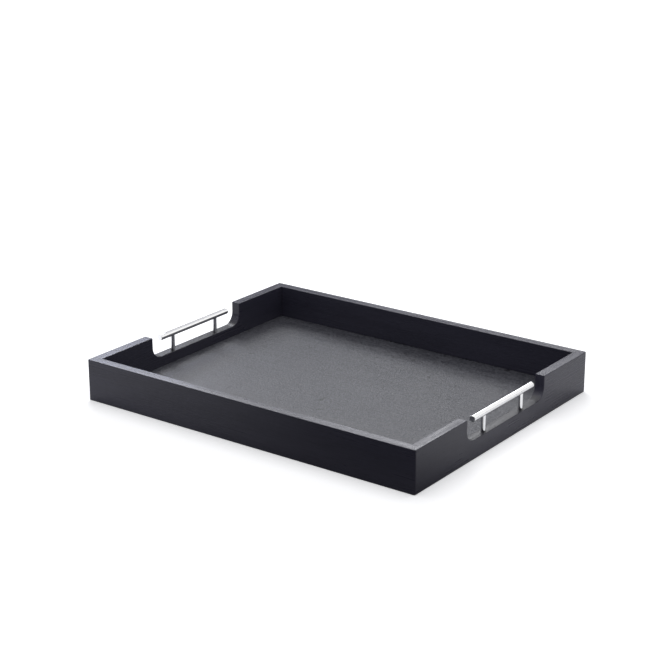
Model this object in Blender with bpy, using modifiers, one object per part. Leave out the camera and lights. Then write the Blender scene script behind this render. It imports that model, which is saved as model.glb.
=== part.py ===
# Butler's tray: four mitred boards round a panel floor, with a steel bar handle
# standing in a notch at each end.
# Metres, +Z up. The origin is the middle of the footprint, on the surface that it
# stands on. +X runs along the long side, +Y along the short side towards the back.

import math

import bmesh
import bpy
from mathutils import Matrix, Vector

# Frame of four boards
TRAY_LENGTH = 0.490
TRAY_WIDTH = 0.392
TRAY_HEIGHT = 0.054
BOARD = 0.013
CORNER_RADIUS = 0.002
EDGE_EASE = 0.0008
FIT_GAP = 0.0003

# Floor panel, let into a groove all round
FLOOR_TOP = 0.0105
PANEL = 0.005
GROOVE_DEPTH = 0.004

# Hand notch in each end board
NOTCH_LENGTH = 0.177
NOTCH_FLOOR = 0.0245
NOTCH_RADIUS = 0.016

# Hidden spline across each mitre
SPLINE_THICKNESS = 0.003
SPLINE_WIDTH = 0.008
SPLINE_BOTTOM = 0.014
SPLINE_TOP = 0.047
SPLINE_FROM_INNER_CORNER = 0.006

# Handle
BAR_DIAMETER = 0.008
BAR_LENGTH = 0.136
BAR_HEIGHT = 0.0475
BAR_EASE = 0.0005
POST_DIAMETER = 0.006
POST_SPACING = 0.086
POST_EASE = 0.0003

# Fasteners of the handle
THREAD_DIAMETER = 0.003
THREAD_EASE = 0.0004
STUD_LENGTH = 0.010
STUD_IN_BAR = 0.003
SCREW_LENGTH = 0.030
SCREW_HEAD_DIAMETER = 0.0056
SCREW_HEAD_HEIGHT = 0.0019
SCREW_HEAD_EASE = 0.0005
SCREW_RECESS_WIDTH = 0.0008
SCREW_RECESS_LENGTH = 0.0032
SCREW_RECESS_DEPTH = 0.0010
TAPPED_HOLE_SPARE = 0.001
WASHER_DIAMETER = 0.007
WASHER_THICKNESS = 0.0005
COUNTERBORE_DIAMETER = 0.008
COUNTERBORE_DEPTH = 0.0038

# Fineness of the round parts
CORNER_STEPS = 5
NOTCH_STEPS = 10
BAR_STEPS = 48
POST_STEPS = 32
THREAD_STEPS = 24

# Reach of a cutter past the face that it cuts
CUT_PAST = 0.004

HALF_LENGTH = TRAY_LENGTH / 2
HALF_WIDTH = TRAY_WIDTH / 2
THREAD_RADIUS = THREAD_DIAMETER / 2
THREAD_HOLE_RADIUS = THREAD_RADIUS + FIT_GAP
HANDLE_X = HALF_LENGTH - BOARD / 2
POST_Y = POST_SPACING / 2
WASHER_TOP = COUNTERBORE_DEPTH - FIT_GAP
HEAD_TOP = WASHER_TOP - WASHER_THICKNESS - FIT_GAP
SCREW_TIP = HEAD_TOP + SCREW_LENGTH
STUD_TOP = BAR_HEIGHT - BAR_DIAMETER / 2 + STUD_IN_BAR
STUD_BOTTOM = STUD_TOP - STUD_LENGTH
POST_BOTTOM = NOTCH_FLOOR + FIT_GAP


def clear_scene():
    for old in list(bpy.data.objects):
        bpy.data.objects.remove(old, do_unlink=True)


def make_collection(name):
    collection = bpy.data.collections.new(name)
    bpy.context.scene.collection.children.link(collection)
    return collection


def make_material(name, colour, roughness, metallic):
    material = bpy.data.materials.new(name)
    material.use_nodes = True
    shader = material.node_tree.nodes["Principled BSDF"]
    shader.inputs["Base Color"].default_value = (*colour, 1.0)
    shader.inputs["Roughness"].default_value = roughness
    shader.inputs["Metallic"].default_value = metallic
    return material


def add_object(name, data, collection):
    thing = bpy.data.objects.new(name, data)
    collection.objects.link(thing)
    return thing


def mesh_object(name, shape, collection):
    mesh = bpy.data.meshes.new(name)
    shape.to_mesh(mesh)
    shape.free()
    return add_object(name, mesh, collection)


def evaluated_mesh(thing):
    bpy.context.view_layer.update()
    graph = bpy.context.evaluated_depsgraph_get()
    return bpy.data.meshes.new_from_object(thing.evaluated_get(graph))


def as_cutter(thing):
    thing.hide_render = True
    thing.display_type = "WIRE"
    return thing


def box(name, size, centre, collection, turn=0.0):
    shape = bmesh.new()
    bmesh.ops.create_cube(shape, size=1.0, matrix=Matrix.Diagonal((*size, 1.0)))
    thing = mesh_object(name, shape, collection)
    thing.location = centre
    thing.rotation_euler.z = turn
    return thing


def rod(name, diameter, bottom, top, place, steps, collection):
    """Upright cylinder from one height to another."""
    shape = bmesh.new()
    bmesh.ops.create_cone(shape, cap_ends=True, segments=steps, radius1=diameter / 2,
                          radius2=diameter / 2, depth=top - bottom)
    thing = mesh_object(name, shape, collection)
    thing.location = (place[0], place[1], (bottom + top) / 2)
    return thing


def lying_rod(name, diameter, length, centre, steps, collection):
    """Cylinder along Y."""
    shape = bmesh.new()
    bmesh.ops.create_cone(shape, cap_ends=True, segments=steps, radius1=diameter / 2,
                          radius2=diameter / 2, depth=length,
                          matrix=Matrix.Rotation(math.pi / 2, 4, "X"))
    thing = mesh_object(name, shape, collection)
    thing.location = centre
    return thing


def turned(name, profile, steps, place, collection, closed=False):
    """Profile of (radius, height) points turned about an upright axis."""
    shape = bmesh.new()
    corners = [shape.verts.new((radius, 0.0, height)) for radius, height in profile]
    for start, end in zip(corners, corners[1:]):
        shape.edges.new((start, end))
    if closed:
        shape.edges.new((corners[-1], corners[0]))
    thing = mesh_object(name, shape, collection)
    thing.location = (place[0], place[1], 0.0)
    screw = thing.modifiers.new("Turn", "SCREW")
    screw.steps = steps
    screw.render_steps = steps
    screw.use_merge_vertices = True
    screw.merge_threshold = 0.00001
    return thing


def outline_plate(name, outlines, thickness, collection):
    """Flat outlines, the later ones holes in the first, made into a plate about z = 0."""
    curve = bpy.data.curves.new(name, "CURVE")
    curve.dimensions = "2D"
    curve.fill_mode = "BOTH"
    curve.extrude = thickness / 2
    for points in outlines:
        spline = curve.splines.new("POLY")
        spline.points.add(len(points) - 1)
        for point, (x, y) in zip(spline.points, points):
            point.co = (x, y, 0.0, 1.0)
        spline.use_cyclic_u = True
    drawn = add_object(name + "_outline", curve, collection)
    mesh = evaluated_mesh(drawn)
    bpy.data.objects.remove(drawn, do_unlink=True)
    shape = bmesh.new()
    shape.from_mesh(mesh)
    bmesh.ops.remove_doubles(shape, verts=shape.verts, dist=0.00001)
    bmesh.ops.dissolve_limit(shape, angle_limit=math.radians(1), verts=shape.verts,
                             edges=shape.edges)
    return mesh_object(name, shape, collection)


def arc(centre, radius, start, end, steps):
    """Points of an arc between two angles in degrees."""
    angles = [math.radians(start + (end - start) * step / steps) for step in range(steps + 1)]
    return [(centre[0] + radius * math.cos(angle), centre[1] + radius * math.sin(angle))
            for angle in angles]


def rounded_rectangle(half_x, half_y, radius, steps):
    points = []
    for quarter, (side_x, side_y) in enumerate(((1, 1), (-1, 1), (-1, -1), (1, -1))):
        centre = (side_x * (half_x - radius), side_y * (half_y - radius))
        points += arc(centre, radius, 90 * quarter, 90 * quarter + 90, steps)
    return points


def rectangle(half_x, half_y):
    return [(half_x, half_y), (-half_x, half_y), (-half_x, -half_y), (half_x, -half_y)]


def boolean(thing, other, operation="DIFFERENCE"):
    modifier = thing.modifiers.new(other.name, "BOOLEAN")
    modifier.operation = operation
    modifier.solver = "EXACT"
    modifier.object = other


def settle(thing):
    """Makes the modifiers' result the object's own mesh."""
    mesh = evaluated_mesh(thing)
    thing.modifiers.clear()
    thing.data = mesh


def ease_edges(thing, width, steps):
    """Rounds the outward corners sharper than 60 degrees."""
    shape = bmesh.new()
    shape.from_mesh(thing.data)
    sharp = [edge for edge in shape.edges
             if edge.is_convex and edge.calc_face_angle(0.0) > math.radians(60)]
    bmesh.ops.bevel(shape, geom=sharp, offset=width, offset_type="OFFSET", segments=steps,
                    profile=0.5, affect="EDGES", clamp_overlap=True)
    shape.to_mesh(thing.data)
    shape.free()


def finish(thing, material):
    """Gives a part its material and smooth round faces with sharp edges between."""
    thing.data.materials.clear()
    thing.data.materials.append(material)
    thing.data.shade_smooth()
    thing.data.set_sharp_from_angle(angle=math.radians(40))


def notch_cutter(name, side, cutters):
    """Wide U that opens upwards, with round lower corners, through one end board."""
    half = NOTCH_LENGTH / 2
    low = NOTCH_FLOOR
    turn = low + NOTCH_RADIUS
    points = [(half, TRAY_HEIGHT + CUT_PAST), (-half, TRAY_HEIGHT + CUT_PAST)]
    points += arc((-half + NOTCH_RADIUS, turn), NOTCH_RADIUS, 180, 270, NOTCH_STEPS)
    points += arc((half - NOTCH_RADIUS, turn), NOTCH_RADIUS, 270, 360, NOTCH_STEPS)
    cutter = outline_plate(name, [points], BOARD + 2 * CUT_PAST, cutters)
    cutter.rotation_euler = (math.pi / 2, 0.0, math.pi / 2)
    cutter.location.x = side * HANDLE_X
    return as_cutter(cutter)


def groove_cutter(cutters):
    reach_x = TRAY_LENGTH - 2 * BOARD + 2 * GROOVE_DEPTH
    reach_y = TRAY_WIDTH - 2 * BOARD + 2 * GROOVE_DEPTH
    size = (reach_x, reach_y, PANEL + 2 * FIT_GAP)
    return as_cutter(box("groove", size, (0.0, 0.0, FLOOR_TOP - PANEL / 2), cutters))


def corner_places():
    """Name, centre and turn of the spline in each corner."""
    along = SPLINE_FROM_INNER_CORNER / math.sqrt(2)
    for name, side_x, side_y in (("front_left", -1, -1), ("front_right", 1, -1),
                                 ("back_left", -1, 1), ("back_right", 1, 1)):
        centre = (side_x * (HALF_LENGTH - BOARD + along), side_y * (HALF_WIDTH - BOARD + along),
                  (SPLINE_BOTTOM + SPLINE_TOP) / 2)
        yield name, centre, -side_x * side_y * math.pi / 4


def spline_size(gap):
    return (SPLINE_WIDTH + 2 * gap, SPLINE_THICKNESS + 2 * gap, SPLINE_TOP - SPLINE_BOTTOM + 2 * gap)


def post_places(side):
    """Name and place of each post of one handle."""
    for name, side_y in (("front", -1), ("back", 1)):
        yield name, (side * HANDLE_X, side_y * POST_Y)


def screw_hole_cutter(name, place, cutters):
    """Clearance hole from the notch floor down to a counterbore in the underside."""
    profile = [(0.0, NOTCH_FLOOR + CUT_PAST), (THREAD_HOLE_RADIUS, NOTCH_FLOOR + CUT_PAST),
               (THREAD_HOLE_RADIUS, COUNTERBORE_DEPTH),
               (COUNTERBORE_DIAMETER / 2, COUNTERBORE_DEPTH),
               (COUNTERBORE_DIAMETER / 2, -CUT_PAST), (0.0, -CUT_PAST)]
    return as_cutter(turned(name, profile, POST_STEPS, place, cutters))


def frame_blank(cutters):
    """The four boards as one ring: notched, eased, grooved and drilled."""
    outlines = [rounded_rectangle(HALF_LENGTH, HALF_WIDTH, CORNER_RADIUS, CORNER_STEPS),
                rectangle(HALF_LENGTH - BOARD, HALF_WIDTH - BOARD)]
    blank = outline_plate("frame_blank", outlines, TRAY_HEIGHT, cutters)
    blank.data.transform(Matrix.Translation((0.0, 0.0, TRAY_HEIGHT / 2)))
    for name, side in (("left", -1), ("right", 1)):
        boolean(blank, notch_cutter(name + "_notch", side, cutters))
    settle(blank)
    ease_edges(blank, EDGE_EASE, 2)
    boolean(blank, groove_cutter(cutters))
    for name, centre, turn in corner_places():
        boolean(blank, as_cutter(box(name + "_slot", spline_size(FIT_GAP), centre, cutters, turn)))
    for end, side in (("left", -1), ("right", 1)):
        for name, place in post_places(side):
            boolean(blank, screw_hole_cutter(end + "_" + name + "_hole", place, cutters))
    settle(blank)
    return as_cutter(blank)


def board_wedge(name, half_along, half_across, turn, cutters):
    """Plan of one board with its 45 degree ends, drawn along X and turned into place."""
    gap = FIT_GAP / math.sqrt(2)
    outside = half_across + CUT_PAST
    inside = half_across - BOARD - CUT_PAST
    outer_half = half_along + CUT_PAST - gap
    inner_half = half_along - BOARD - CUT_PAST - gap
    points = [(outer_half, outside), (-outer_half, outside), (-inner_half, inside),
              (inner_half, inside)]
    wedge = outline_plate(name, [points], TRAY_HEIGHT + 2 * CUT_PAST, cutters)
    wedge.location.z = TRAY_HEIGHT / 2
    wedge.rotation_euler.z = turn
    return as_cutter(wedge)


def make_boards(parts, cutters, wood):
    blank = frame_blank(cutters)
    boards = (("back_rail", HALF_LENGTH, HALF_WIDTH, 0.0),
              ("left_end_board", HALF_WIDTH, HALF_LENGTH, math.pi / 2),
              ("front_rail", HALF_LENGTH, HALF_WIDTH, math.pi),
              ("right_end_board", HALF_WIDTH, HALF_LENGTH, -math.pi / 2))
    for name, half_along, half_across, turn in boards:
        board = add_object(name, blank.data.copy(), parts)
        boolean(board, board_wedge(name + "_wedge", half_along, half_across, turn, cutters),
                "INTERSECT")
        settle(board)
        finish(board, wood)


def make_panel(parts, wood):
    reach = GROOVE_DEPTH - FIT_GAP
    size = (TRAY_LENGTH - 2 * BOARD + 2 * reach, TRAY_WIDTH - 2 * BOARD + 2 * reach, PANEL)
    finish(box("base_panel", size, (0.0, 0.0, FLOOR_TOP - PANEL / 2), parts), wood)


def make_splines(parts, wood):
    for name, centre, turn in corner_places():
        finish(box("corner_spline_" + name, spline_size(0.0), centre, parts, turn), wood)


def make_bar(name, side, parts, cutters, steel):
    bar = lying_rod(name, BAR_DIAMETER, BAR_LENGTH, (side * HANDLE_X, 0.0, BAR_HEIGHT),
                    BAR_STEPS, parts)
    ease_edges(bar, BAR_EASE, 2)
    for post, place in post_places(side):
        hole = rod(name + "_" + post + "_hole", 2 * THREAD_HOLE_RADIUS, NOTCH_FLOOR,
                   STUD_TOP + FIT_GAP, place, THREAD_STEPS, cutters)
        boolean(bar, as_cutter(hole))
    settle(bar)
    finish(bar, steel)


def make_post(name, side, place, parts, cutters, steel):
    """Post with a saddle top that follows the bar, tapped at both ends."""
    post = rod(name, POST_DIAMETER, POST_BOTTOM, BAR_HEIGHT, place, POST_STEPS, parts)
    ease_edges(post, POST_EASE, 1)
    saddle = lying_rod(name + "_saddle", BAR_DIAMETER + 2 * FIT_GAP, 2 * POST_DIAMETER,
                       (place[0], place[1], BAR_HEIGHT), BAR_STEPS, cutters)
    foot_hole = rod(name + "_foot_hole", 2 * THREAD_HOLE_RADIUS, POST_BOTTOM - CUT_PAST,
                    SCREW_TIP + TAPPED_HOLE_SPARE, place, THREAD_STEPS, cutters)
    top_hole = rod(name + "_top_hole", 2 * THREAD_HOLE_RADIUS, STUD_BOTTOM - FIT_GAP,
                   BAR_HEIGHT + CUT_PAST, place, THREAD_STEPS, cutters)
    for cutter in (saddle, foot_hole, top_hole):
        boolean(post, as_cutter(cutter))
    settle(post)
    finish(post, steel)


def make_stud(name, place, parts, steel):
    inner = THREAD_RADIUS - THREAD_EASE
    profile = [(0.0, STUD_TOP), (inner, STUD_TOP), (THREAD_RADIUS, STUD_TOP - THREAD_EASE),
               (THREAD_RADIUS, STUD_BOTTOM + THREAD_EASE), (inner, STUD_BOTTOM),
               (0.0, STUD_BOTTOM)]
    stud = turned(name, profile, THREAD_STEPS, place, parts)
    settle(stud)
    finish(stud, steel)


def make_screw(name, place, parts, cutters, steel):
    """Pan-head machine screw, head down, with a cross recess in its head."""
    head = SCREW_HEAD_DIAMETER / 2
    head_bottom = HEAD_TOP - SCREW_HEAD_HEIGHT
    profile = [(0.0, SCREW_TIP), (THREAD_RADIUS - THREAD_EASE, SCREW_TIP),
               (THREAD_RADIUS, SCREW_TIP - THREAD_EASE), (THREAD_RADIUS, HEAD_TOP),
               (head, HEAD_TOP), (head, head_bottom + SCREW_HEAD_EASE),
               (head - SCREW_HEAD_EASE, head_bottom), (0.0, head_bottom)]
    screw = turned(name, profile, THREAD_STEPS, place, parts)
    depth = SCREW_RECESS_DEPTH + CUT_PAST
    centre = (place[0], place[1], head_bottom + SCREW_RECESS_DEPTH - depth / 2)
    for arm, size in (("long", (SCREW_RECESS_LENGTH, SCREW_RECESS_WIDTH, depth)),
                      ("cross", (SCREW_RECESS_WIDTH, SCREW_RECESS_LENGTH, depth))):
        boolean(screw, as_cutter(box(name + "_recess_" + arm, size, centre, cutters)))
    settle(screw)
    finish(screw, steel)


def make_washer(name, place, parts, steel):
    outer = WASHER_DIAMETER / 2
    inner = THREAD_HOLE_RADIUS
    bottom = WASHER_TOP - WASHER_THICKNESS
    profile = [(outer, WASHER_TOP), (outer, bottom), (inner, bottom), (inner, WASHER_TOP)]
    washer = turned(name, profile, THREAD_STEPS, place, parts, closed=True)
    settle(washer)
    finish(washer, steel)


def make_handle(end, side, parts, cutters, polished, plated):
    make_bar(end + "_handle_bar", side, parts, cutters, polished)
    for name, place in post_places(side):
        make_post(f"{end}_handle_post_{name}", side, place, parts, cutters, polished)
        make_stud(f"{end}_handle_stud_{name}", place, parts, plated)
        make_screw(f"{end}_handle_screw_{name}", place, parts, cutters, plated)
        make_washer(f"{end}_handle_washer_{name}", place, parts, plated)


def main():
    clear_scene()
    parts = make_collection("butlers_tray")
    cutters = make_collection("cutters")
    black_wood = make_material("black_stained_wood", (0.018, 0.018, 0.021), 0.42, 0.0)
    panel_wood = make_material("black_stained_panel", (0.030, 0.030, 0.033), 0.48, 0.0)
    key_wood = make_material("plain_beech", (0.56, 0.38, 0.22), 0.6, 0.0)
    polished = make_material("polished_steel", (0.78, 0.78, 0.79), 0.10, 1.0)
    plated = make_material("zinc_plated_steel", (0.62, 0.63, 0.65), 0.30, 1.0)
    make_boards(parts, cutters, black_wood)
    make_panel(parts, panel_wood)
    make_splines(parts, key_wood)
    make_handle("left", -1, parts, cutters, polished, plated)
    make_handle("right", 1, parts, cutters, polished, plated)


main()
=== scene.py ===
import math

import bmesh
import bpy
from mathutils import Matrix, Vector


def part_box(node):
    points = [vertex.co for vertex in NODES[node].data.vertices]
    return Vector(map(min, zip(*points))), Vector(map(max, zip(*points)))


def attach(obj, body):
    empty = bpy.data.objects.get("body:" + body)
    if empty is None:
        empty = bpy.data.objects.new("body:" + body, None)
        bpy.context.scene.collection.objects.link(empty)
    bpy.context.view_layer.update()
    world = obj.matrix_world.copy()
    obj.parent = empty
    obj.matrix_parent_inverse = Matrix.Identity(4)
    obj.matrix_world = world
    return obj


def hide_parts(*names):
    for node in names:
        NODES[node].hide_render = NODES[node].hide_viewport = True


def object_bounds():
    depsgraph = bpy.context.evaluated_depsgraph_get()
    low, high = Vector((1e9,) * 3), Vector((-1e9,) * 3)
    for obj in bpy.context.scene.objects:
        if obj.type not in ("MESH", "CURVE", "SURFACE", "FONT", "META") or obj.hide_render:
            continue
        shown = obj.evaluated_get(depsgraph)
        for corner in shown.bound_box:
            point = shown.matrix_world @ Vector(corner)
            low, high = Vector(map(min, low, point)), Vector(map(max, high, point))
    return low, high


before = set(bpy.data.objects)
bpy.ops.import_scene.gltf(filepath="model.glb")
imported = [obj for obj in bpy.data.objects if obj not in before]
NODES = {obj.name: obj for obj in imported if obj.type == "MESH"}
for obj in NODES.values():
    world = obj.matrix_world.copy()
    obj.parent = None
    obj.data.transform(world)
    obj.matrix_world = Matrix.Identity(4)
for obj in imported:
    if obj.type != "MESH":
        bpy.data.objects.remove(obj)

# The butler's tray dressed for its picture: black-stained open-grain boards and panel,
# polished steel handles, plated screws, a pale floor, and soft studio light.
# Metres, +Z up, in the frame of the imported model.

CAD_LOW, CAD_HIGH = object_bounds()

# Camera, worked out from the tray's own edges in the photograph
CAMERA_PLACE = Vector((1.1842, -1.6410, 0.7920))
CAMERA_AIM = Vector((-0.1484, 0.1911, 0.0))
CAMERA_LENS = 92.853
SENSOR_WIDTH = 36.0

# World: how bright it is as a lamp, where 1 is white, and its tint as one
WORLD_LIGHT = 0.45
WORLD_TINT = (0.94, 0.95, 1.0)

# Floor: half its size, its depth below the tray and its white; its own glow near the tray
# and far off, and the distances between which the one turns into the other. Reflections
# lose the near glow up to the first distance of the last line, and get it back by the second:
# painted shade on the floor round the tray, as reflections see it.
FLOOR_HALF = 12.0
FLOOR_BELOW = 0.0002
FLOOR_WHITE = 0.88
FLOOR_LIFT_NEAR = 0.34
FLOOR_LIFT_FAR = 0.70
FLOOR_LIFT_REACH = (0.4, 2.0)
FLOOR_SHADE_REACH = (0.3, 0.9)

# Painted shadow: a dark patch of the floor that all but the camera see, before the near corner,
# in place of the tray's shadow under a light from the back left: its middle, the distances
# between which it fades out, and its grey
SHADOW_PATCH_PLACE = (0.22, -0.50, 0.0)
SHADOW_PATCH_REACH = (0.19, 0.52)
SHADOW_PATCH_GREY = 0.01

# Softboxes in one upright plane behind the tray, facing the camera. Each: name, place
# across and height, width and height, brightness of its face, tint
TOWARD_CAMERA = Vector((0.588, -0.809, 0.0))
ACROSS = Vector((0.809, 0.588, 0.0))
BACK_DISTANCE = 1.2
SOFTBOXES = (
    ("softbox_strip", -0.05, 0.725, 1.30, 0.25, 3.9, (0.98, 0.99, 1.03)),
    ("softbox_left", -0.325, 0.725, 0.25, 0.25, 3.4, (0.88, 0.94, 1.17)),
    ("softbox_low", -0.51, 0.58, 0.44, 0.12, 5.5, (0.85, 0.92, 1.22)),
    ("softbox_high", -0.20, 1.025, 1.00, 0.35, 6.6, (0.99, 1.0, 1.02)),
)
TOP_SOFTBOX_HEIGHT = 1.5
TOP_SOFTBOX_SIZE = 1.2
TOP_SOFTBOX_BRIGHTNESS = 2.0

# Watts for each square metre of a softbox whose face is as bright as white
WATTS_FOR_WHITE = 4.0

# Cards that only reflections see, as upright strips round the tray: painted reflections, dark
# ones and a light one by the left handle. Each: name, distance, grey, and for some bearings in
# degrees from +X the heights of its bottom and top there
CARDS = (
    ("card_behind", 1.42, 0.42, ((103.0, 0.0, 0.68), (153.0, 0.0, 0.68))),
    ("card_low", 1.25, 0.10, ((30.0, 0.0, 0.09), (84.0, 0.0, 0.09))),
    ("card_left", 1.60, 0.03, ((190.0, 0.0, 0.35), (236.0, 0.0, 0.35))),
    ("card_camera", 1.60, 0.03, ((236.0, 0.0, 1.20), (360.0, 0.0, 1.20))),
    ("card_left_handle", 1.15, 0.90, ((70.0, 0.95, 1.27), (112.0, 0.95, 1.25),
                                      (125.0, 0.76, 1.03), (141.0, 0.30, 0.54))),
)
CARD_STEPS = 12

# Details that the boxes of the nodes don't give
CORNER_RADIUS = 0.002
EDGE_EASE = 0.0008
HAIRLINE = 0.00006
FIT_GAP = 0.0003
NOTCH_LENGTH = 0.177
NOTCH_RADIUS = 0.016
SPLINE_SLOT = Vector((0.0086, 0.0036, 0.0336))
SCREW_HOLE_RADIUS = 0.0018
COUNTERBORE_RADIUS = 0.004
COUNTERBORE_DEPTH = 0.0038
BAR_EASE = 0.0005
POST_EASE = 0.0002
POST_BELOW_BAR_AXIS = 0.002
SHANK_RADIUS = 0.0015
SHANK_EASE = 0.0004
HEAD_HEIGHT = 0.0019
HEAD_DOME = 0.0012
RECESS_ARM = (0.0032, 0.0007, 0.0040)
RECESS_CENTRE_BELOW = 0.0008
RECESS_TAPER = 0.55
WASHER_EASE = 0.00012

# Fineness of the shapes: how far cutters reach past what they cut, points closer than the
# weld distance become one, sides of round pieces, steps of small arcs, angles in degrees
CUT_PAST = 0.004
WELD = 0.000001
ROD_SIDES = 72
TURNED_SIDES = 48
ROD_END_STEPS = 4
CORNER_STEPS = 6
NOTCH_STEPS = 18
EASE_STEPS = 3
DOME_STEPS = 9
FLAT_ANGLE = 1
EASED_ANGLE = 60
SHARP_ANGLE = 35


def box_centre(node):
    low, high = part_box(node)
    return (low + high) / 2


def box_size(node):
    low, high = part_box(node)
    return high - low


# Sizes read from the nodes
HALF_LENGTH = CAD_HIGH.x
HALF_WIDTH = CAD_HIGH.y
TRAY_HEIGHT = CAD_HIGH.z
BOARD = box_size("front_rail").y
PANEL_CENTRE = box_centre("base_panel")
PANEL_SIZE = box_size("base_panel")
BAR_SIZE = box_size("right_handle_bar")
POST_SIZE = box_size("right_handle_post_front")
HANDLE_X = box_centre("right_handle_bar").x
BAR_HEIGHT = box_centre("right_handle_bar").z
POST_Y = box_centre("right_handle_post_back").y
NOTCH_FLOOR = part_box("right_handle_post_front")[0].z - FIT_GAP
ENDS = (("left", -1), ("right", 1))


# Shader expressions

class Value:
    """A socket of a node tree that takes part in arithmetic."""

    def __init__(self, tree, socket):
        self.tree = tree
        self.socket = socket

    def __add__(self, other):
        return self.tree.maths("ADD", self, other)

    def __sub__(self, other):
        return self.tree.maths("SUBTRACT", self, other)

    def __mul__(self, other):
        return self.tree.maths("MULTIPLY", self, other)

    def __truediv__(self, other):
        return self.tree.maths("DIVIDE", self, other)

    def __radd__(self, other):
        return self.tree.maths("ADD", other, self)

    def __rsub__(self, other):
        return self.tree.maths("SUBTRACT", other, self)


class Tree:
    """Adds nodes by type, settings and socket values or links."""

    def __init__(self, tree):
        self.tree = tree

    def node(self, kind, settings=None, sockets=None, output=0):
        made = self.tree.nodes.new(kind)
        for name, value in (settings or {}).items():
            setattr(made, name, value)
        for name, value in (sockets or {}).items():
            if isinstance(value, Value):
                self.tree.links.new(value.socket, made.inputs[name])
            else:
                made.inputs[name].default_value = value
        return Value(self, made.outputs[output] if made.outputs else None)

    def maths(self, operation, *numbers):
        return self.node("ShaderNodeMath", {"operation": operation}, dict(enumerate(numbers)))

    def part(self, vector, axis):
        """The part X, Y or Z of a vector."""
        return self.node("ShaderNodeSeparateXYZ", sockets={"Vector": vector}, output=axis)

    def mix(self, factor, first, second):
        """Colour between two colours; sockets 6 and 7 are the node's colour inputs."""
        return self.node("ShaderNodeMix", {"data_type": "RGBA"},
                         {"Factor": factor, 6: first, 7: second}, output=2)

    def ray(self, kind):
        """One for rays of a kind, Camera, Glossy or Transmission, and nought for others."""
        return self.node("ShaderNodeLightPath", output=f"Is {kind} Ray")

    def seen_ray(self):
        """One for rays that show the background: to the camera, in metal and through glass."""
        return self.ray("Camera") + self.ray("Glossy") + self.ray("Transmission")


class Finish(Tree):
    """A material whose shader's varying inputs are written as expressions."""

    def __init__(self, name):
        self.material = bpy.data.materials.new(name)
        self.material.use_nodes = True
        self.material.node_tree.nodes.clear()
        super().__init__(self.material.node_tree)
        self.place = self.node("ShaderNodeTexCoord", output="Object")

    def noise(self, vector, scale=1.0, detail=2.0, roughness=0.5):
        return self.node("ShaderNodeTexNoise", {"noise_dimensions": "3D"},
                         {"Vector": vector, "Scale": scale, "Detail": detail,
                          "Roughness": roughness, "Distortion": 0.0})

    def grain(self, along, pattern, seed=0.0, detail=2.0, roughness=0.5):
        """Noise drawn out along axis 0 (X), 1 (Y) or 2 (Z)."""
        scale_along, scale_across = pattern
        scale = [scale_across] * 3
        scale[along] = scale_along
        place = self.node("ShaderNodeMapping", sockets={"Vector": self.place, "Scale": scale,
                                                        "Location": (seed, seed, seed)})
        return self.noise(place, detail=detail, roughness=roughness)

    def ease(self, value, low, high, to_low=0.0, to_high=1.0):
        """Smooth step of a value from one level to another."""
        return self.node("ShaderNodeMapRange", {"interpolation_type": "SMOOTHSTEP"},
                         {"Value": value, "From Min": low, "From Max": high,
                          "To Min": to_low, "To Max": to_high})

    def distance(self, point):
        """How far the shaded place is from a point."""
        return self.node("ShaderNodeVectorMath", {"operation": "DISTANCE"},
                         {0: self.place, 1: point}, output="Value")

    def bump(self, height, distance):
        return self.node("ShaderNodeBump", sockets={"Height": height, "Distance": distance})

    def diffuse(self, grey):
        return self.node("ShaderNodeBsdfDiffuse", sockets={"Color": colour(grey, grey, grey)})

    def surface(self, shader):
        """Ends the tree with its shader, and gives the material."""
        self.node("ShaderNodeOutputMaterial", sockets={"Surface": shader})
        return self.material

    def principled(self, **sockets):
        named = {name.replace("_", " "): value for name, value in sockets.items()}
        return self.surface(self.node("ShaderNodeBsdfPrincipled", sockets=named))


# Finishes

def colour(red, green, blue):
    return (red, green, blue, 1.0)


# Grain and other drawn-out patterns: noise scale along the grain and across it
SWAY = (5.0, 40.0)
STREAKS = (9.0, 330.0)
FIBRES = (40.0, 1100.0)
PORES = (110.0, 1700.0)
TOOTH = (330.0, 330.0)
PANEL_LINES = (14.0, 420.0)
POLISH_MARKS = (60.0, 900.0)
BEECH_FIBRES = (60.0, 900.0)
BEECH_FLECKS = (500.0, 2600.0)

# Noise scale of the patterns that run no way in particular
SMUDGES = 12.0
PANEL_CLOUDS = 9.0
PANEL_SPECKS = 75.0
STEEL_CLOUDS = 60.0
ZINC_CLOUDS = 700.0

# Levels of the noise between which a pattern sets in, or one tone turns into the other
NOISE_MIDDLE = 0.5
PORE_LEVELS = (0.60, 0.72)
SPECK_LEVELS = (0.80, 0.83)
FLECK_LEVELS = (0.62, 0.70)
BOARD_TONE_LEVELS = (0.30, 0.70)
PANEL_TONE_LEVELS = (0.38, 0.62)

# Upward part of the normal, and height, between which a board's side turns into its top
# and the cut floor of a notch into the rim's own finish
TOP_FACES = (0.6, 0.95)
ABOVE_NOTCH = (0.035, 0.050)

# Darkest and lightest tone of each finish, the black in the pores, and the brown flecks
PITCH = colour(0.006, 0.006, 0.008)
BOARD_TONES = (colour(0.027, 0.0262, 0.0395), colour(0.037, 0.036, 0.053))
PANEL_TONES = (colour(0.014, 0.0145, 0.020), colour(0.066, 0.067, 0.077))
STEEL_TONES = (colour(0.92, 0.92, 0.925), colour(0.97, 0.97, 0.97))
STEEL_EDGE_TONE = colour(0.50, 0.50, 0.52)
ZINC_TONES = (colour(0.52, 0.54, 0.58), colour(0.70, 0.71, 0.70))
BEECH_TONES = (colour(0.50, 0.32, 0.18), colour(0.66, 0.47, 0.30))
FLECK_BROWN = colour(0.36, 0.20, 0.11)

# Black stain: its specular level, how much darker pores and specks are, how far the notch
# floors are darkened by painted shade, and the share of the lines in the panel's tone
STAIN_SPECULAR = 0.30
PORE_DARKER = 0.35
SPECK_DARKER = 0.8
NOTCH_PAINTED_SHADE = 0.8
LINES_IN_TONE = 0.25

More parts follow.
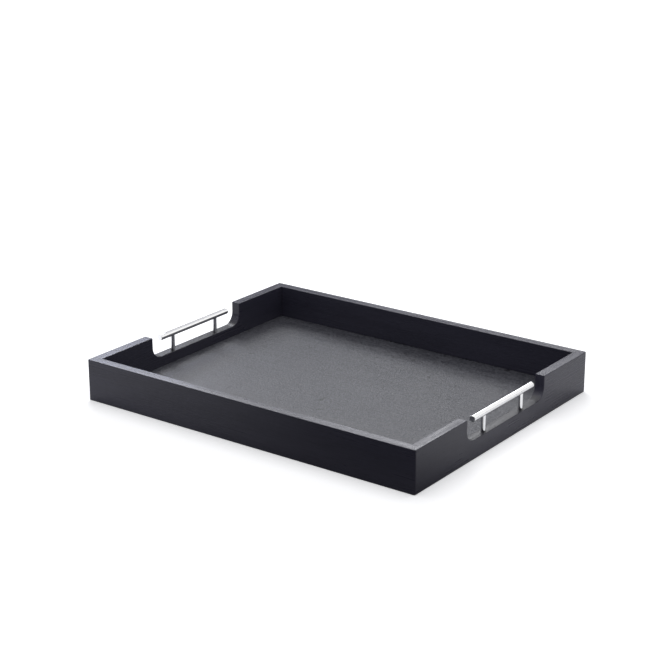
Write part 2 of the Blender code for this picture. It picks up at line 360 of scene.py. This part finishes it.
# Roughness of each finish, and what its patterns and places add
BOARD_ROUGHNESS = 0.28
STREAKS_ON_SIDES = 0.05
STREAKS_ON_TOPS = 0.40
TOP_DULLER = 0.02
NOTCH_DULLER = 0.08
PORE_DULLER = 0.10
SMUDGE_DULLER = 0.07
PANEL_ROUGHNESS = 0.47
TOOTH_DULLER = 0.40
LINES_DULLER = 0.14
CLOUDS_DULLER = 0.10
STEEL_ROUGHNESS = 0.02
MARKS_DULLER = 0.04
ZINC_ROUGHNESS = 0.22
ZINC_CLOUDS_DULLER = 0.22
BEECH_ROUGHNESS = 0.55
FIBRES_DULLER = 0.15

# Relief: how deep each finish is, and the share of its patterns in it
BOARD_BUMP = 0.00002
FIBRES_RELIEF = 0.3
STREAKS_RELIEF = 0.4
PANEL_BUMP = 0.00050
LINES_RELIEF = 0.3
BEECH_BUMP = 0.00004


def stained_board(name, along, seed):
    """Black satin stain on a board whose grain runs along axis 0 (X) or 1 (Y)."""
    finish = Finish(name)
    sway = finish.grain(along, SWAY, seed, detail=1.0)
    streak = finish.grain(along, STREAKS, seed)
    fibre = finish.grain(along, FIBRES, seed)
    pore = finish.ease(finish.grain(along, PORES, seed, detail=1.0), *PORE_LEVELS)
    smudge = finish.noise(finish.place, SMUDGES, detail=3.0)
    normal = finish.node("ShaderNodeNewGeometry", output="Normal")
    top = finish.ease(finish.part(normal, "Z"), *TOP_FACES)
    in_notch = top * finish.ease(finish.part(finish.place, "Z"), *ABOVE_NOTCH, 1.0, 0.0)
    tone = finish.ease(fibre * 0.5 + sway * 0.5, *BOARD_TONE_LEVELS)
    stain = finish.mix(pore * PORE_DARKER, finish.mix(tone, *BOARD_TONES), PITCH)
    # Notch floors under the handle bars darkened towards pitch: painted shade
    stain = finish.mix(in_notch * NOTCH_PAINTED_SHADE, stain, PITCH)
    streaks = (streak - NOISE_MIDDLE) * (STREAKS_ON_SIDES + top * STREAKS_ON_TOPS)
    roughness = (BOARD_ROUGHNESS + streaks + top * TOP_DULLER + in_notch * NOTCH_DULLER
                 + pore * PORE_DULLER + (smudge - NOISE_MIDDLE) * SMUDGE_DULLER)
    relief = fibre * FIBRES_RELIEF + streak * STREAKS_RELIEF - pore
    return finish.principled(Base_Color=stain, Roughness=roughness,
                             Specular_IOR_Level=STAIN_SPECULAR,
                             Normal=finish.bump(relief, BOARD_BUMP))


def stained_panel(name, seed):
    """Flat black stain on a panel with a fine even tooth and faint lines along X."""
    finish = Finish(name)
    tooth = finish.grain(0, TOOTH, seed, detail=3.0, roughness=0.70)
    lines = finish.grain(0, PANEL_LINES, seed)
    cloud = finish.noise(finish.place, PANEL_CLOUDS)
    speck = finish.ease(finish.noise(finish.place, PANEL_SPECKS, detail=0.0), *SPECK_LEVELS)
    tone = finish.ease(tooth * (1.0 - LINES_IN_TONE) + lines * LINES_IN_TONE,
                       *PANEL_TONE_LEVELS)
    stain = finish.mix(speck * SPECK_DARKER, finish.mix(tone, *PANEL_TONES), PITCH)
    roughness = (PANEL_ROUGHNESS + (tooth - NOISE_MIDDLE) * TOOTH_DULLER
                 + (lines - NOISE_MIDDLE) * LINES_DULLER
                 + (cloud - NOISE_MIDDLE) * CLOUDS_DULLER)
    relief = tooth + lines * LINES_RELIEF
    return finish.principled(Base_Color=stain, Roughness=roughness,
                             Specular_IOR_Level=STAIN_SPECULAR,
                             Normal=finish.bump(relief, PANEL_BUMP))


def polished_steel():
    """Bright stainless bar with the faint turning marks of the polishing wheel."""
    finish = Finish("polished_steel")
    marks = finish.grain(1, POLISH_MARKS)
    cloud = finish.noise(finish.place, STEEL_CLOUDS)
    return finish.principled(Base_Color=finish.mix(cloud, *STEEL_TONES), Metallic=1.0,
                             Specular_Tint=STEEL_EDGE_TONE,
                             Roughness=STEEL_ROUGHNESS + marks * MARKS_DULLER)


def plated_steel():
    """Zinc plating: bluish grey, a little cloudy."""
    finish = Finish("zinc_plated_steel")
    cloud = finish.noise(finish.place, ZINC_CLOUDS, detail=3.0)
    return finish.principled(Base_Color=finish.mix(cloud, *ZINC_TONES), Metallic=1.0,
                             Roughness=ZINC_ROUGHNESS + cloud * ZINC_CLOUDS_DULLER)


def bare_beech():
    """Planed beech with its short dark flecks, for the splines."""
    finish = Finish("bare_beech")
    fibre = finish.grain(2, BEECH_FIBRES)
    fleck = finish.ease(finish.grain(2, BEECH_FLECKS, detail=0.0), *FLECK_LEVELS)
    wood = finish.mix(fleck, finish.mix(fibre, *BEECH_TONES), FLECK_BROWN)
    return finish.principled(Base_Color=wood, Normal=finish.bump(fibre, BEECH_BUMP),
                             Roughness=BEECH_ROUGHNESS + fibre * FIBRES_DULLER)


# Mesh tools

def add_object(name, data):
    thing = bpy.data.objects.new(name, data)
    bpy.context.scene.collection.objects.link(thing)
    return thing


def mesh_object(name, shape):
    mesh = bpy.data.meshes.new(name)
    shape.to_mesh(mesh)
    shape.free()
    return add_object(name, mesh)


def evaluated_mesh(thing):
    bpy.context.view_layer.update()
    graph = bpy.context.evaluated_depsgraph_get()
    return bpy.data.meshes.new_from_object(thing.evaluated_get(graph))


def remove(*things):
    for thing in things:
        bpy.data.objects.remove(thing, do_unlink=True)


def settle(thing):
    """Makes the modifiers' result the object's own mesh."""
    mesh = evaluated_mesh(thing)
    thing.modifiers.clear()
    thing.data = mesh


def arc(centre, radius, start, end, steps):
    """Points of an arc between two angles in degrees."""
    angles = [math.radians(start + (end - start) * step / steps) for step in range(steps + 1)]
    return [(centre[0] + radius * math.cos(angle), centre[1] + radius * math.sin(angle))
            for angle in angles]


def rounded_rectangle(half_x, half_y, radius, steps):
    points = []
    for quarter, (side_x, side_y) in enumerate(((1, 1), (-1, 1), (-1, -1), (1, -1))):
        centre = (side_x * (half_x - radius), side_y * (half_y - radius))
        points += arc(centre, radius, 90 * quarter, 90 * quarter + 90, steps)
    return points


def rectangle(half_x, half_y):
    return [(half_x, half_y), (-half_x, half_y), (-half_x, -half_y), (half_x, -half_y)]


def outline_plate(name, outlines, thickness, matrix):
    """Flat outlines, the later ones holes in the first, made into a plate and placed."""
    curve = bpy.data.curves.new(name, "CURVE")
    curve.dimensions = "2D"
    curve.fill_mode = "BOTH"
    curve.extrude = thickness / 2
    for points in outlines:
        spline = curve.splines.new("POLY")
        spline.points.add(len(points) - 1)
        for point, (x, y) in zip(spline.points, points):
            point.co = (x, y, 0.0, 1.0)
        spline.use_cyclic_u = True
    drawn = add_object(name, curve)
    mesh = evaluated_mesh(drawn)
    remove(drawn)
    shape = bmesh.new()
    shape.from_mesh(mesh)
    bmesh.ops.remove_doubles(shape, verts=shape.verts, dist=WELD)
    bmesh.ops.dissolve_limit(shape, angle_limit=math.radians(FLAT_ANGLE), verts=shape.verts,
                             edges=shape.edges)
    bmesh.ops.transform(shape, matrix=matrix, verts=shape.verts)
    return mesh_object(name, shape)


def box(name, size, centre, turn=0.0):
    shape = bmesh.new()
    matrix = (Matrix.Translation(centre) @ Matrix.Rotation(turn, 4, "Z")
              @ Matrix.Diagonal((*size, 1.0)))
    bmesh.ops.create_cube(shape, size=1.0, matrix=matrix)
    return mesh_object(name, shape)


def turned(name, profile, place=(0.0, 0.0)):
    """Closed profile of (radius, height) points turned about an upright axis."""
    shape = bmesh.new()
    corners = [shape.verts.new((radius, 0.0, height)) for radius, height in profile]
    for start, end in zip(corners, corners[1:]):
        shape.edges.new((start, end))
    bmesh.ops.spin(shape, geom=shape.verts[:] + shape.edges[:], cent=(0.0, 0.0, 0.0),
                   axis=(0.0, 0.0, 1.0), angle=math.tau, steps=TURNED_SIDES, use_merge=True)
    bmesh.ops.remove_doubles(shape, verts=shape.verts, dist=WELD)
    bmesh.ops.recalc_face_normals(shape, faces=shape.faces)
    bmesh.ops.translate(shape, vec=(*place, 0.0), verts=shape.verts)
    return mesh_object(name, shape)


def boolean(thing, other, operation="DIFFERENCE"):
    modifier = thing.modifiers.new(other.name, "BOOLEAN")
    modifier.operation = operation
    modifier.solver = "EXACT"
    modifier.object = other


def cut(thing, cutters):
    for cutter in cutters:
        boolean(thing, cutter)
    settle(thing)
    remove(*cutters)


def ease_edges(thing, width):
    """Rounds the outward corners that are sharp enough."""
    shape = bmesh.new()
    shape.from_mesh(thing.data)
    sharp = [edge for edge in shape.edges
             if edge.is_convex and edge.calc_face_angle(0.0) > math.radians(EASED_ANGLE)]
    bmesh.ops.bevel(shape, geom=sharp, offset=width, offset_type="OFFSET", segments=EASE_STEPS,
                    profile=0.5, affect="EDGES", clamp_overlap=True)
    shape.to_mesh(thing.data)
    shape.free()


def smooth(thing):
    """Smooth shading that keeps the large faces flat."""
    thing.data.shade_smooth()
    thing.data.set_sharp_from_angle(angle=math.radians(SHARP_ANGLE))
    weighted = thing.modifiers.new("Weighted normals", "WEIGHTED_NORMAL")
    weighted.keep_sharp = True
    settle(thing)


def dress(piece, finish, slot, *nodes):
    """Gives a piece its finish and its place in the frame."""
    piece.data.materials.clear()
    piece.data.materials.append(finish)
    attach(piece, "root")
    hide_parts(*nodes)


# Boards

def notch_cutter(name, side):
    half = NOTCH_LENGTH / 2
    turn = NOTCH_FLOOR + NOTCH_RADIUS
    points = [(half, TRAY_HEIGHT + CUT_PAST), (-half, TRAY_HEIGHT + CUT_PAST)]
    points += arc((-half + NOTCH_RADIUS, turn), NOTCH_RADIUS, 180, 270, NOTCH_STEPS)
    points += arc((half - NOTCH_RADIUS, turn), NOTCH_RADIUS, 270, 360, NOTCH_STEPS)
    upright = Matrix.Rotation(math.pi / 2, 4, "Z") @ Matrix.Rotation(math.pi / 2, 4, "X")
    return outline_plate(name, [points], BOARD + 2 * CUT_PAST,
                         Matrix.Translation((side * HANDLE_X, 0.0, 0.0)) @ upright)


def spline_slots():
    for name in ("front_left", "front_right", "back_left", "back_right"):
        centre = box_centre("corner_spline_" + name)
        turn = -math.copysign(math.pi / 4, centre.x * centre.y)
        yield box("slot_" + name, SPLINE_SLOT, centre, turn)


def screw_holes():
    profile = [(0.0, NOTCH_FLOOR + CUT_PAST), (SCREW_HOLE_RADIUS, NOTCH_FLOOR + CUT_PAST),
               (SCREW_HOLE_RADIUS, COUNTERBORE_DEPTH), (COUNTERBORE_RADIUS, COUNTERBORE_DEPTH),
               (COUNTERBORE_RADIUS, -CUT_PAST), (0.0, -CUT_PAST)]
    for end, side in ENDS:
        for side_y in (-1, 1):
            yield turned(f"hole_{end}_{side_y}", profile, (side * HANDLE_X, side_y * POST_Y))


def frame_ring():
    """The four boards as one ring: notched, eased, grooved and drilled."""
    outlines = [rounded_rectangle(HALF_LENGTH, HALF_WIDTH, CORNER_RADIUS, CORNER_STEPS),
                rectangle(HALF_LENGTH - BOARD, HALF_WIDTH - BOARD)]
    ring = outline_plate("frame_ring", outlines, TRAY_HEIGHT,
                         Matrix.Translation((0.0, 0.0, TRAY_HEIGHT / 2)))
    cut(ring, [notch_cutter("notch_" + name, side) for name, side in ENDS])
    ease_edges(ring, EDGE_EASE)
    groove = box("groove", PANEL_SIZE + Vector((2, 2, 2)) * FIT_GAP, PANEL_CENTRE)
    cut(ring, [groove, *spline_slots(), *screw_holes()])
    return ring


def board_wedge(name, half_along, half_across, turn):
    """Plan of one board with its 45 degree ends, drawn along X and turned into place."""
    outside = half_across + CUT_PAST
    inside = half_across - BOARD - CUT_PAST
    outer_half = half_along + CUT_PAST - HAIRLINE
    inner_half = half_along - BOARD - CUT_PAST - HAIRLINE
    points = [(outer_half, outside), (-outer_half, outside), (-inner_half, inside),
              (inner_half, inside)]
    return outline_plate(name, [points], TRAY_HEIGHT + 2 * CUT_PAST,
                         Matrix.Translation((0.0, 0.0, TRAY_HEIGHT / 2))
                         @ Matrix.Rotation(turn, 4, "Z"))


def make_boards():
    grain_x = stained_board("black_stain_along_x", along=0, seed=3.1)
    grain_y = stained_board("black_stain_along_y", along=1, seed=7.7)
    ring = frame_ring()
    boards = (("back_rail", HALF_LENGTH, HALF_WIDTH, 0.0, grain_x),
              ("left_end_board", HALF_WIDTH, HALF_LENGTH, math.pi / 2, grain_y),
              ("front_rail", HALF_LENGTH, HALF_WIDTH, math.pi, grain_x),
              ("right_end_board", HALF_WIDTH, HALF_LENGTH, -math.pi / 2, grain_y))
    for node, half_along, half_across, turn, finish in boards:
        board = add_object(node + "_wood", ring.data.copy())
        wedge = board_wedge(node + "_wedge", half_along, half_across, turn)
        boolean(board, wedge, "INTERSECT")
        settle(board)
        remove(wedge)
        smooth(board)
        dress(board, finish, "stained_board", node)
    remove(ring)


# Handles, screws and washers, by geometry nodes

class Geometry(Tree):
    """A geometry node tree with named inputs."""

    KINDS = {"Float": "NodeSocketFloat", "Material": "NodeSocketMaterial",
             "Object": "NodeSocketObject"}

    def __init__(self, name, inputs):
        group = bpy.data.node_groups.new(name, "GeometryNodeTree")
        super().__init__(group)
        self.given = {}
        for label, (kind, value) in inputs.items():
            socket = group.interface.new_socket(label, in_out="INPUT",
                                                socket_type=self.KINDS[kind])
            self.given[label] = (socket.identifier, value)
        group.interface.new_socket("Geometry", in_out="OUTPUT",
                                   socket_type="NodeSocketGeometry")
        self.source = group.nodes.new("NodeGroupInput")

    def __getitem__(self, label):
        return Value(self, self.source.outputs[label])

    def vector(self, x=0.0, y=0.0, z=0.0):
        return self.node("ShaderNodeCombineXYZ", sockets={"X": x, "Y": y, "Z": z})

    def rod(self, length, diameter, ease):
        """Rod along Z about the origin whose two ends are rounded by a small radius."""
        last = 2 * ROD_END_STEPS + 1
        index = self.node("GeometryNodeInputIndex")
        far = self.maths("GREATER_THAN", index, last / 2)
        from_end = self.maths("MINIMUM", index, last - index)
        angle = from_end * (math.pi / 2 / ROD_END_STEPS)
        height = (length / 2 - ease * (1 - self.maths("COSINE", angle))) * (far * 2 - 1)
        radius = diameter / 2 - ease + ease * self.maths("SINE", angle)
        line = self.node("GeometryNodeMeshLine", sockets={"Count": last + 1})
        line = self.node("GeometryNodeSetPosition",
                         sockets={"Geometry": line, "Position": self.vector(z=height)})
        line = self.node("GeometryNodeMeshToCurve", sockets={"Mesh": line})
        circle = self.node("GeometryNodeCurvePrimitiveCircle",
                           sockets={"Resolution": ROD_SIDES, "Radius": 1.0})
        return self.node("GeometryNodeCurveToMesh",
                         sockets={"Curve": line, "Profile Curve": circle, "Scale": radius,
                                  "Fill Caps": True})

    def moved(self, geometry, place, turn):
        return self.node("GeometryNodeTransform",
                         sockets={"Geometry": geometry, "Translation": place, "Rotation": turn})

    def at_points(self, points, geometry):
        return self.node("GeometryNodeInstanceOnPoints",
                         sockets={"Points": points, "Instance": geometry})

    def finish(self, geometry, material):
        geometry = self.node("GeometryNodeRealizeInstances", sockets={"Geometry": geometry})
        geometry = self.node("GeometryNodeSetMaterial",
                             sockets={"Geometry": geometry, "Material": material})
        self.node("NodeGroupOutput", sockets={"Geometry": geometry})

    def build(self, name, **changes):
        """A plain mesh object of the tree's result with some inputs changed."""
        maker = add_object(name, bpy.data.meshes.new(name))
        modifier = maker.modifiers.new("Maker", "NODES")
        modifier.node_group = self.tree
        for label, (identifier, value) in self.given.items():
            modifier[identifier] = changes.get(label.replace(" ", "_"), value)
        settle(maker)
        return maker


def bar_tree(steel):
    tree = Geometry("handle_bar", {"Length": ("Float", BAR_SIZE.y),
                                   "Diameter": ("Float", BAR_SIZE.x),
                                   "End ease": ("Float", BAR_EASE),
                                   "Handle X": ("Float", HANDLE_X),
                                   "Bar height": ("Float", BAR_HEIGHT),
                                   "Steel": ("Material", steel)})
    rod = tree.rod(tree["Length"], tree["Diameter"], tree["End ease"])
    place = tree.vector(tree["Handle X"], 0.0, tree["Bar height"])
    tree.finish(tree.moved(rod, place, (math.pi / 2, 0.0, 0.0)), tree["Steel"])
    return tree


def post_tree(steel):
    """Two posts from the notch floor into the underside of the bar."""
    height = BAR_HEIGHT - NOTCH_FLOOR - POST_BELOW_BAR_AXIS
    tree = Geometry("handle_posts", {"Height": ("Float", height),
                                     "Diameter": ("Float", POST_SIZE.x),
                                     "End ease": ("Float", POST_EASE),
                                     "Spacing": ("Float", 2 * POST_Y),
                                     "Handle X": ("Float", HANDLE_X),
                                     "Notch floor": ("Float", NOTCH_FLOOR),
                                     "Steel": ("Material", steel)})
    rod = tree.rod(tree["Height"], tree["Diameter"], tree["End ease"])
    middle = tree["Notch floor"] + tree["Height"] / 2
    start = tree.vector(tree["Handle X"], tree["Spacing"] * -0.5, middle)
    points = tree.node("GeometryNodeMeshLine",
                       sockets={"Count": 2, "Start Location": start,
                                "Offset": tree.vector(y=tree["Spacing"])})
    tree.finish(tree.at_points(points, rod), tree["Steel"])
    return tree


def repeat_tree(steel):
    """A piece set at the four places of the handles' screws."""
    tree = Geometry("fasteners", {"Piece": ("Object", None),
                                  "Spacing X": ("Float", 2 * HANDLE_X),
                                  "Spacing Y": ("Float", 2 * POST_Y),
                                  "Steel": ("Material", steel)})
    piece = tree.node("GeometryNodeObjectInfo", sockets={"Object": tree["Piece"]},
                      output="Geometry")
    points = tree.node("GeometryNodeMeshGrid",
                       sockets={"Size X": tree["Spacing X"], "Size Y": tree["Spacing Y"],
                                "Vertices X": 2, "Vertices Y": 2})
    tree.finish(tree.at_points(points, piece), tree["Steel"])
    return tree


def make_handles(steel):
    bars = bar_tree(steel)
    posts = post_tree(steel)
    for end, side in ENDS:
        bar = bars.build(end + "_bar", Handle_X=side * HANDLE_X)
        smooth(bar)
        dress(bar, steel, "polished_steel", end + "_handle_bar")
        pair = posts.build(end + "_posts", Handle_X=side * HANDLE_X)
        smooth(pair)
        dress(pair, steel, "polished_steel", end + "_handle_post_front",
              end + "_handle_post_back")


def recess_arm(name, head_bottom, turn):
    """One arm of a screw's cross, narrower at its inner end."""
    arm = box(name, RECESS_ARM, (0.0, 0.0, head_bottom - RECESS_CENTRE_BELOW), turn)
    for vertex in arm.data.vertices:
        if vertex.co.z > head_bottom:
            vertex.co.x *= RECESS_TAPER
            vertex.co.y *= RECESS_TAPER
    return arm


def screw_master():
    """Pan-head screw, head down, with a tapered cross recess."""
    low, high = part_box("right_handle_screw_front")
    head_radius = (high.x - low.x) / 2
    head_top = low.z + HEAD_HEIGHT
    angles = [math.pi / 2 * step / DOME_STEPS for step in range(DOME_STEPS, -1, -1)]
    dome = [(head_radius * math.sin(angle), low.z + HEAD_DOME * (1 - math.cos(angle)))
            for angle in angles]
    profile = [(0.0, high.z), (SHANK_RADIUS - SHANK_EASE, high.z),
               (SHANK_RADIUS, high.z - SHANK_EASE), (SHANK_RADIUS, head_top),
               (head_radius, head_top), *dome]
    screw = turned("screw_master", profile)
    cut(screw, [recess_arm("recess_long", low.z, 0.0),
                recess_arm("recess_cross", low.z, math.pi / 2)])
    return screw


def washer_master():
    low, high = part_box("right_handle_washer_front")
    outer = (high.x - low.x) / 2
    inner = SCREW_HOLE_RADIUS
    soft = WASHER_EASE
    profile = [(inner + soft, high.z), (outer - soft, high.z), (outer, high.z - soft),
               (outer, low.z + soft), (outer - soft, low.z), (inner + soft, low.z),
               (inner, low.z + soft), (inner, high.z - soft), (inner + soft, high.z)]
    return turned("washer_master", profile)


def make_fasteners(zinc):
    tree = repeat_tree(zinc)
    for kind, master in (("screw", screw_master()), ("washer", washer_master())):
        group = tree.build(f"handle_{kind}s", Piece=master)
        remove(master)
        smooth(group)
        nodes = [f"{end}_handle_{kind}_{row}" for end, _ in ENDS for row in ("front", "back")]
        dress(group, zinc, "plated_steel", *nodes)


def finish_kept_nodes(zinc):
    """New finishes on the nodes whose own solids show or lie hidden in the wood."""
    beech = bare_beech()
    finishes = {"base_panel": stained_panel("black_stain_panel", seed=11.3)}
    finishes.update({node: beech for node in NODES if node.startswith("corner_spline")})
    finishes.update({node: zinc for node in NODES if "_stud_" in node})
    for node, finish in finishes.items():
        NODES[node].data.materials.clear()
        NODES[node].data.materials.append(finish)


# Camera, floor and light

def add_camera():
    data = bpy.data.cameras.new("camera")
    data.lens = CAMERA_LENS
    data.sensor_width = SENSOR_WIDTH
    camera = add_object("camera", data)
    camera.location = CAMERA_PLACE
    camera.rotation_mode = "QUATERNION"
    camera.rotation_quaternion = (CAMERA_AIM - CAMERA_PLACE).to_track_quat("-Z", "Y")
    bpy.context.scene.camera = camera


def pale_floor():
    """White floor that keeps the tray's shadow. Reflections see it dark before the near
    corner, a painted shadow of the tray as under a light from the back left alone, and near
    the tray without its glow, painted shade."""
    finish = Finish("pale_floor")
    distance = finish.distance((0.0, 0.0, 0.0))
    lift = finish.ease(distance, *FLOOR_LIFT_REACH, FLOOR_LIFT_NEAR, FLOOR_LIFT_FAR)
    # Reflections lose the floor's glow near the tray: painted shade round the tray's foot
    painted_shade_near = finish.ease(distance, *FLOOR_SHADE_REACH, FLOOR_LIFT_NEAR, 0.0)
    strength = finish.seen_ray() * lift - finish.ray("Glossy") * painted_shade_near
    glow = finish.node("ShaderNodeEmission", sockets={"Strength": strength})
    lit = finish.node("ShaderNodeAddShader", sockets={0: finish.diffuse(FLOOR_WHITE), 1: glow})
    # Painted shadow of the tray on the floor before the near corner, dark to every ray but the
    # camera's
    painted_shadow = finish.ease(finish.distance(SHADOW_PATCH_PLACE), *SHADOW_PATCH_REACH, 1.0, 0.0)
    painted_shadow_off_camera = painted_shadow * (1.0 - finish.ray("Camera"))
    mixed = finish.node("ShaderNodeMixShader",
                        sockets={0: painted_shadow_off_camera, 1: lit, 2: finish.diffuse(SHADOW_PATCH_GREY)})
    shape = bmesh.new()
    bmesh.ops.create_grid(shape, x_segments=1, y_segments=1, size=FLOOR_HALF)
    floor = mesh_object("floor", shape)
    floor.location.z = -FLOOR_BELOW
    floor.data.materials.append(finish.surface(mixed))


def white_world():
    """White to the camera and in reflections, a little bluer as a lamp."""
    world = bpy.data.worlds.new("studio")
    bpy.context.scene.world = world
    world.use_nodes = True
    world.node_tree.nodes.clear()
    world.cycles.sampling_method = "NONE"
    tree = Tree(world.node_tree)
    seen = tree.seen_ray()
    tint = tree.mix(seen, colour(*WORLD_TINT), colour(1.0, 1.0, 1.0))
    strength = WORLD_LIGHT + seen * (1.0 - WORLD_LIGHT)
    light = tree.node("ShaderNodeBackground", sockets={"Color": tint, "Strength": strength})
    tree.node("ShaderNodeOutputWorld", sockets={"Surface": light})


def add_softbox(name, place, direction, size, brightness, tint):
    """Rectangular lamp given by the brightness of its face, where 1 is white."""
    data = bpy.data.lights.new(name, "AREA")
    data.shape = "RECTANGLE"
    data.size, data.size_y = size
    data.energy = brightness * WATTS_FOR_WHITE * size[0] * size[1]
    data.color = tint
    lamp = add_object(name, data)
    lamp.location = place
    lamp.rotation_euler = direction.to_track_quat("-Z", "Y").to_euler()
    lamp.visible_camera = False


def add_card(name, distance, grey, corners):
    """Upright strip round the tray that only reflections see: a painted reflection."""
    finish = Finish(name)
    shape = bmesh.new()
    low = []
    high = []
    for start, end in zip(corners, corners[1:]):
        for step in range(CARD_STEPS + 1):
            bearing, bottom, top = Vector(start).lerp(Vector(end), step / CARD_STEPS)
            x = distance * math.cos(math.radians(bearing))
            y = distance * math.sin(math.radians(bearing))
            low.append(shape.verts.new((x, y, bottom)))
            high.append(shape.verts.new((x, y, top)))
    for left, right, above_left, above_right in zip(low, low[1:], high, high[1:]):
        shape.faces.new((left, right, above_right, above_left))
    bmesh.ops.remove_doubles(shape, verts=shape.verts, dist=WELD)
    card = mesh_object(name, shape)
    card.data.materials.append(finish.surface(finish.diffuse(grey)))
    card.visible_camera = False
    card.visible_diffuse = False
    card.visible_shadow = False


def add_studio():
    bpy.context.scene.view_settings.view_transform = "Standard"
    pale_floor()
    white_world()
    for card in CARDS:
        add_card(*card)
    for name, across, up, width, height, brightness, tint in SOFTBOXES:
        place = ACROSS * across - TOWARD_CAMERA * BACK_DISTANCE + Vector((0.0, 0.0, up))
        add_softbox(name, place, TOWARD_CAMERA, (width, height), brightness, tint)
    add_softbox("softbox_top", Vector((0.0, 0.0, TOP_SOFTBOX_HEIGHT)), Vector((0.0, 0.0, -1.0)),
                (TOP_SOFTBOX_SIZE, TOP_SOFTBOX_SIZE), TOP_SOFTBOX_BRIGHTNESS, (1.0, 1.0, 1.0))


def main():
    steel = polished_steel()
    zinc = plated_steel()
    make_boards()
    make_handles(steel)
    make_fasteners(zinc)
    finish_kept_nodes(zinc)
    add_camera()
    add_studio()


main()
